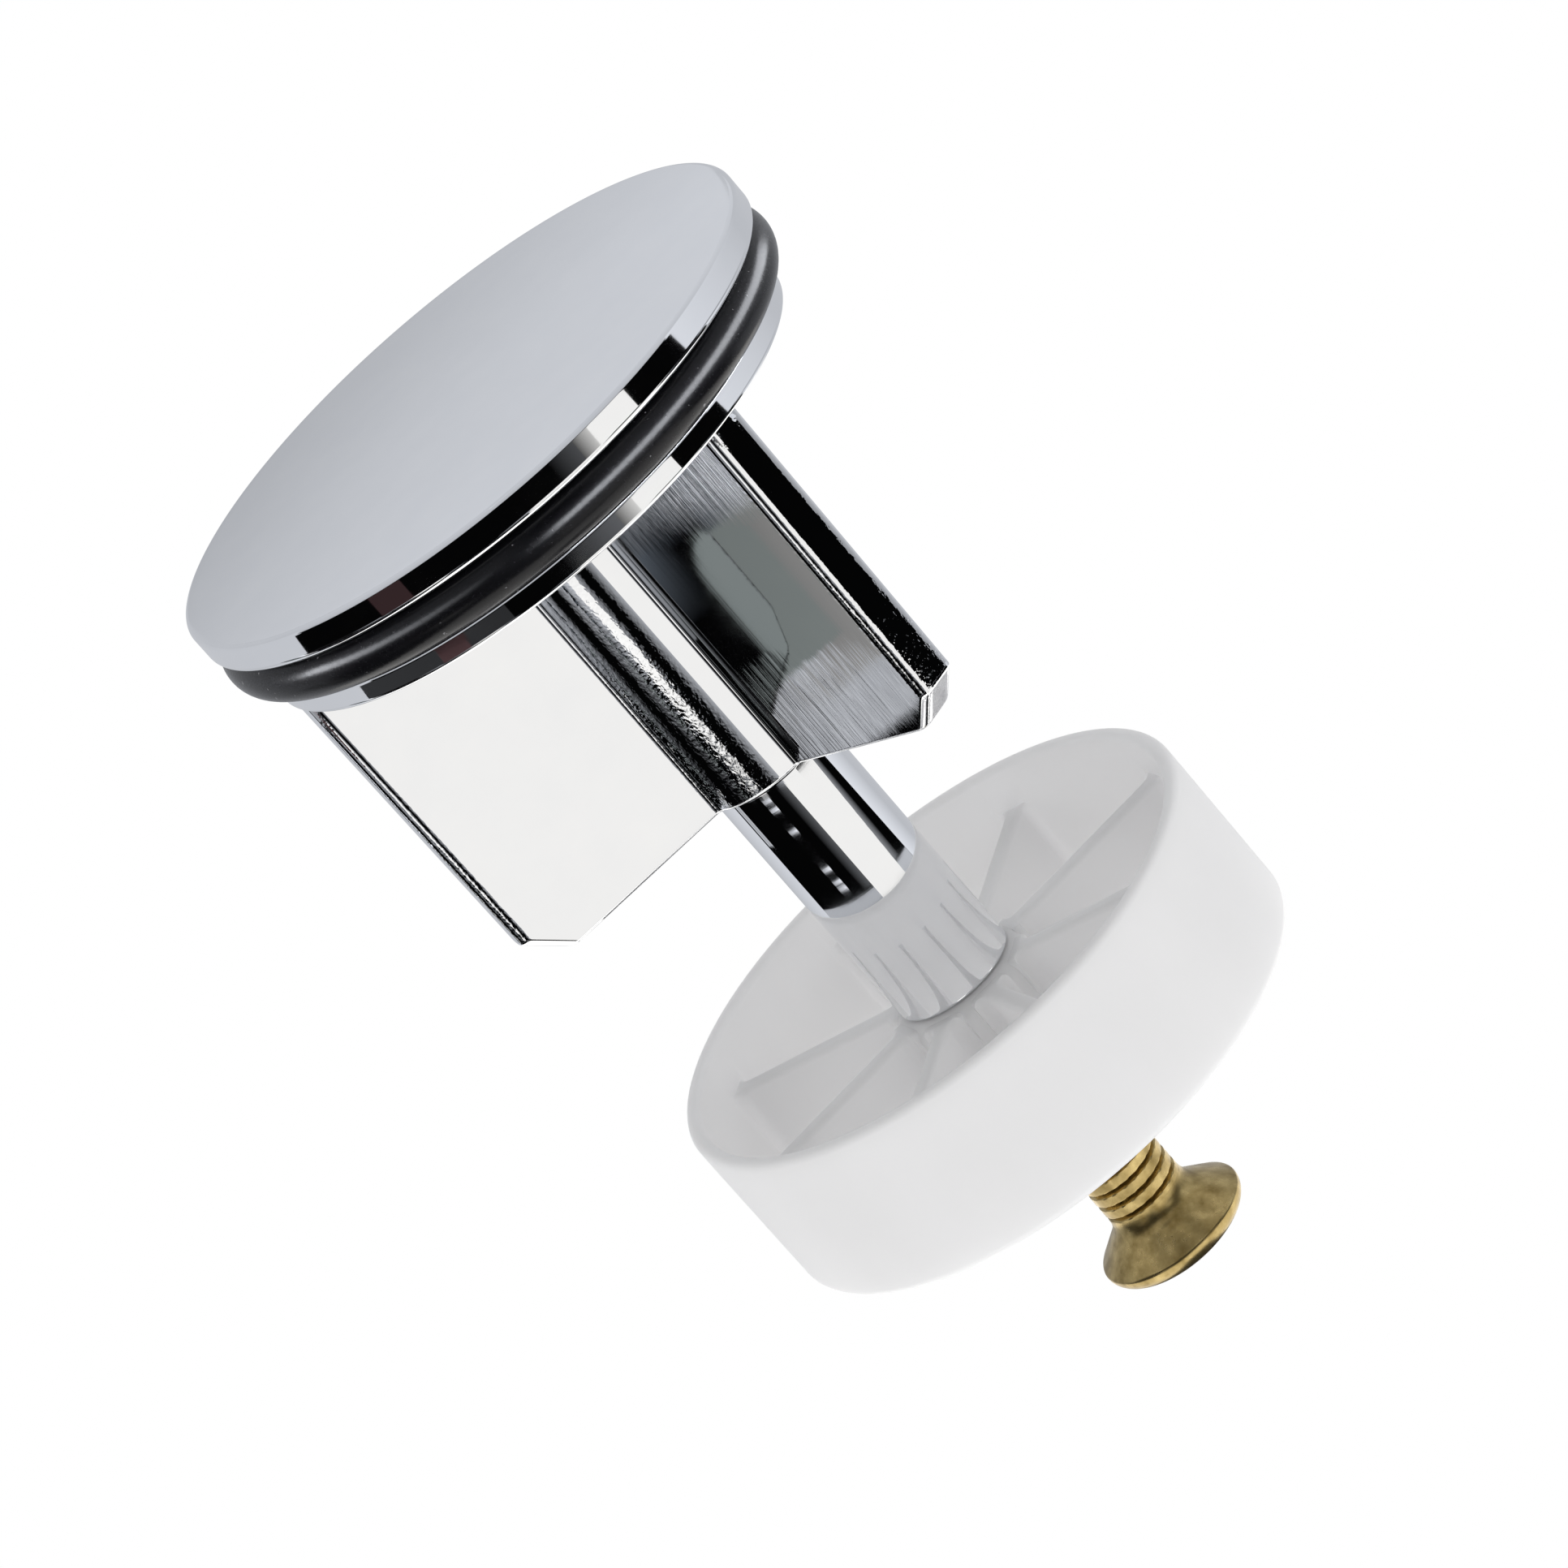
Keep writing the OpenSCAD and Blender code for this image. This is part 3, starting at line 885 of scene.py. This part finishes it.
def build_column_cards():
    """Cards that the column and the left wing mirror, from the left to the right."""
    body, high, low = (BODY_TOP, STEM_TOP), (BODY_TOP, STREAK_FOOT), (STREAK_FOOT, STEM_TOP)
    card("body_left", body, COOL_GREY, (-180, -112, 0.6, 0.6))
    card("streak_far", high, COOL_GREY, (-76, -63.7, 0.02, 0.65), (-76, -63.7, 0.02, 0.17))
    card("streak_foot", low, COOL_GREY, (-76, -63.7, 0.02, 0.17), (-76, -63.7, 0.0, 0.01))
    card("streak_rise", high, BLUE_GREY, (-61.95, -60.8, 0.02, 0.35), (-61.95, -60.8, 0.0, 0.0))
    card("streak_left", high, COOL_GREY, (-60.8, -52, 0.35, 0.8), (-60.8, -51, 0.0, 0.35))
    card("streak", high, WARM_WHITE, (-52, -40, 0.95, 1.0), (-51, -38, 1.2, 1.1))
    card("streak_low", low, WARM_WHITE, (-51, -38, 1.2, 1.1), (-49, -38, 0.4, 0.4))
    card("streak_right", high, COOL_GREY, (-40, -30, 0.5, 0.04), (-38, -30, 0.25, 0.03))
    card("body_fade", body, COOL_GREY, (-17, -5, 0.03, 0.45), (-17, -3, 0.05, 0.45))
    card("body_white", body, WARM_WHITE, (-5, 30, 1.0, 1.0), (-3, 26, 1.0, 1.0))
    card("body_right", body, COOL_GREY, (75.5, 125, 0.35, 0.6), (77, 125, 0.35, 0.6))


STEM_DASHES = (-76.2, -77.2, -79.6, -83.9, -85.3, -86.0)
DASH_HALF = 0.2


def build_stem_cards():
    """Cards that the stem and the screw mirror, and the short dashes of light on the stem."""
    stem, table, below = (STEM_TOP, STEM_FOOT), (TABLE_TOP, TABLE_FOOT), (STEM_TOP, LOWEST)
    card("stem_left", below, COOL_GREY, (-180, -111.5, 0.5, 0.78))
    card("stem_fade", stem, COOL_GREY, (-22, -5, 0.0, 0.1), (-22, -5, 0.0, 0.12))
    card("stem_white", (STEM_TOP, TABLE_FOOT), WARM_WHITE, (-5, 60, 1.0, 1.0), (-5, 52, 1.0, 1.0))
    card("stem_shade", stem, COOL_GREY, (60, 70, 0.3, 0.0), (52, 66, 0.3, 0.02))
    card("stem_right", below, COOL_GREY, (83, 125, 0.9, 0.6), (103, 125, 0.9, 0.6))
    card("table_left", table, COOL_GREY, (-111.5, -5, 0.5, 0.5))
    card("table_right", table, COOL_GREY, (52, 86, 0.6, 0.6))
    card("low_white", (SCREW_TOP, LOWEST), WARM_WHITE, (-6, 57, 1.0, 1.0))
    for height in STEM_DASHES:
        dash = (height + DASH_HALF, height - DASH_HALF)
        card("dash", dash, COOL_GREY, (-55, -40, 0.5, 1.2), distance=CLOSE)


BACK_MIDDLE = 66.0
BACK_FOOT = 20.0
FILL_BAND = (60.0, -60.0)


def build_room_cards():
    """Cards behind and above the plug, which its other sides mirror too."""
    sky = (SKY, CAP_TOP)
    card("back_right", (CAP_TOP, LOWEST), COOL_GREY, (125, 180, 0.6, 0.6))
    card("back_low", (CAP_TOP, BACK_FOOT), COOL_GREY, (168, 192, 0.72, 0.58), (168, 192, 0.6, 0.38), BACK)
    card("back_middle", (BACK_MIDDLE, CAP_TOP), COOL_GREY, (168, 192, 0.72, 0.7), (168, 192, 0.72, 0.58),
         BACK)
    card("back_top", (SKY, BACK_MIDDLE), COOL_GREY, (168, 192, 0.72, 0.72), (168, 192, 0.72, 0.7), BACK)
    card("fill_right", FILL_BAND, COOL_GREY, (78, 180, 0.6, 0.6), distance=FAR)
    card("fill_left", FILL_BAND, COOL_GREY, (-180, -113, 0.6, 0.6), distance=FAR)
    card("sky_right", sky, COOL_GREY, (20, 168, 0.6, 0.72), (20, 168, 0.6, 0.7))
    card("sky_left", sky, COOL_GREY, (-168, -20, 0.7, 0.6), (-168, -20, 0.6, 0.6))


CEILING_STRENGTH = 0.65
CAP_FOOT = -5.0


def cap_cards():
    """Light for the cap alone, so that its top is bright from every side."""
    ceiling = panel("ceiling", (NEAR, NEAR), (0, 0, SKY), COOL_GREY, CEILING_STRENGTH)
    return [
        only_mirrored(ceiling),
        card("cap_front", (SKY, CAP_TOP), COOL_GREY, (-20, 20, 0.6, 0.6)),
        card("cap_low", (CAP_TOP, CAP_FOOT), COOL_GREY, (-90, 61, 0.6, 0.6), (-90, 61, 0.5, 0.5))]


SOFT_FOOT = -44.0


def body_cards():
    """Light for the winged body alone, seen in it from low sides."""
    soft = (CAP_TOP, SOFT_FOOT)
    return [
        card("body_soft_left", soft, COOL_GREY, (-90, -20, 0.4, 0.12), distance=CLOSE),
        card("body_soft_right", soft, COOL_GREY, (-20, 61, 0.12, 0.4), distance=CLOSE)]


def screw_cards():
    """Light for the screw alone, brightest in front."""
    band = (SCREW_TOP, LOWEST)
    return [
        card("screw_left", band, WARM_WHITE, (-40, 0, 0.0, 1.0), distance=CLOSE),
        card("screw_right", band, WARM_WHITE, (0, 60, 1.0, 0.0), distance=CLOSE)]


RING_BAND = (32.0, -12.0)
RING_LEFT_BAND = (62.0, 26.0)


def ring_cards():
    """Light for the rubber ring alone, strong because rubber mirrors little."""
    return [
        card("ring_front", RING_BAND, COOL_GREY, (-3, 60, 24.0, 24.0), distance=CLOSE),
        card("ring_right", RING_BAND, COOL_GREY, (60, 130, 24.0, 5.0), distance=CLOSE),
        card("ring_left", RING_LEFT_BAND, COOL_GREY, (-105, -28, 22.0, 0.5), distance=CLOSE)]


HORIZON_LIGHT = 1.24
ZENITH_LIGHT = 0.29
HORIZON_TO_ZENITH = (0.12, 0.75)
DARK_ROOM = 0.0015
DARK_ROOM_TINT = (0.9, 0.93, 1, 1)


def build_world():
    """Soft white light on every surface; mirrors see a dark room behind the cards."""
    world = bpy.data.worlds.new("studio")
    bpy.context.scene.world = world
    world.use_nodes = True
    tree = world.node_tree
    tree.nodes.clear()
    coords = tree.nodes.new("ShaderNodeTexCoord")
    way = add(tree, "ShaderNodeSeparateXYZ", Vector=coords.outputs["Generated"])
    light = spread(tree, way.outputs["Z"], HORIZON_LIGHT, ZENITH_LIGHT, *HORIZON_TO_ZENITH)
    soft = add(tree, "ShaderNodeBackground", Color=(1, 1, 1, 1), Strength=light)
    dark = add(tree, "ShaderNodeBackground", Color=DARK_ROOM_TINT, Strength=DARK_ROOM)
    path = tree.nodes.new("ShaderNodeLightPath")
    mix = tree.nodes.new("ShaderNodeMixShader")
    tree.links.new(path.outputs["Is Glossy Ray"], mix.inputs[0])
    tree.links.new(soft.outputs[0], mix.inputs[1])
    tree.links.new(dark.outputs[0], mix.inputs[2])
    out = tree.nodes.new("ShaderNodeOutputWorld")
    tree.links.new(mix.outputs[0], out.inputs["Surface"])


def build_camera():
    """Camera above the plug's front, rolled so that the plug leans as in the photograph."""
    e = math.radians(CAMERA_ELEVATION)
    roll = math.radians(CAMERA_ROLL)
    x, y = bearing(0)
    back = np.array([x * math.cos(e), y * math.cos(e), math.sin(e)])
    level = np.array([-y, x, 0.0])
    rise = np.cross(back, level)
    right = math.cos(roll) * level - math.sin(roll) * rise
    up = math.sin(roll) * level + math.cos(roll) * rise
    spot = np.array([0, 0, AIM_HEIGHT]) + CAMERA_SIDESTEP * level + CAMERA_DISTANCE * back
    lens = bpy.data.cameras.new("camera")
    lens.sensor_width = SENSOR
    lens.lens = FOCAL_PX / IMAGE_PX * SENSOR
    lens.clip_start = CLIP_START
    camera = bpy.data.objects.new("camera", lens)
    rows = np.stack([right, up, back, spot * MM], axis=-1)
    camera.matrix_world = Matrix([*rows.tolist(), [0, 0, 0, 1]])
    bpy.context.scene.collection.objects.link(camera)
    bpy.context.scene.camera = camera


build_camera()
build_world()
build_floor()
build_rim_cards()
build_near_wing_cards()
build_column_cards()
build_stem_cards()
build_room_cards()
cap_lights = cap_cards()
body_lights = body_cards()
screw_lights = screw_cards()
ring_lights = ring_cards()
bpy.context.scene.view_settings.view_transform = "Standard"

cap_chrome = polished_chrome("cap_chrome", SOFT_CHROME, CAP_RELIEF, turned)
body_chrome = polished_chrome("drawn_chrome", CLEAR_CHROME, BODY_RELIEF, drawn)
stem_chrome = polished_chrome("stem_chrome", CLEAR_CHROME, STEM_RELIEF, turned)
brass = bare_brass()

cap = show("domed_cap", cap_mesh(), cap_chrome, "cap", "plug")
shine_only_on(cap_lights, cap)
ring = show("rubber_ring", seal_mesh(), seal_rubber(), "seal_ring", "plug")
shine_only_on(ring_lights, ring)
body = show("winged_body", winged_body_mesh(), body_chrome, "guide_body", "plug")
shine_only_on(body_lights, body)
show("plain_stem", stem_mesh(), stem_chrome, "stem", "plug")
show("milky_cup", cup_mesh(), milky_plastic(), "guide_cup", "plug")
screw = show("threaded_screw", screw_mesh(), brass, "height_screw", "screw")
shine_only_on(screw_lights, screw)
show("hexagon_nut", nut_mesh(), brass, "lock_nut", "nut")

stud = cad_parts["joining_stud"]
stud.data.materials.clear()
stud.data.materials.append(brass)
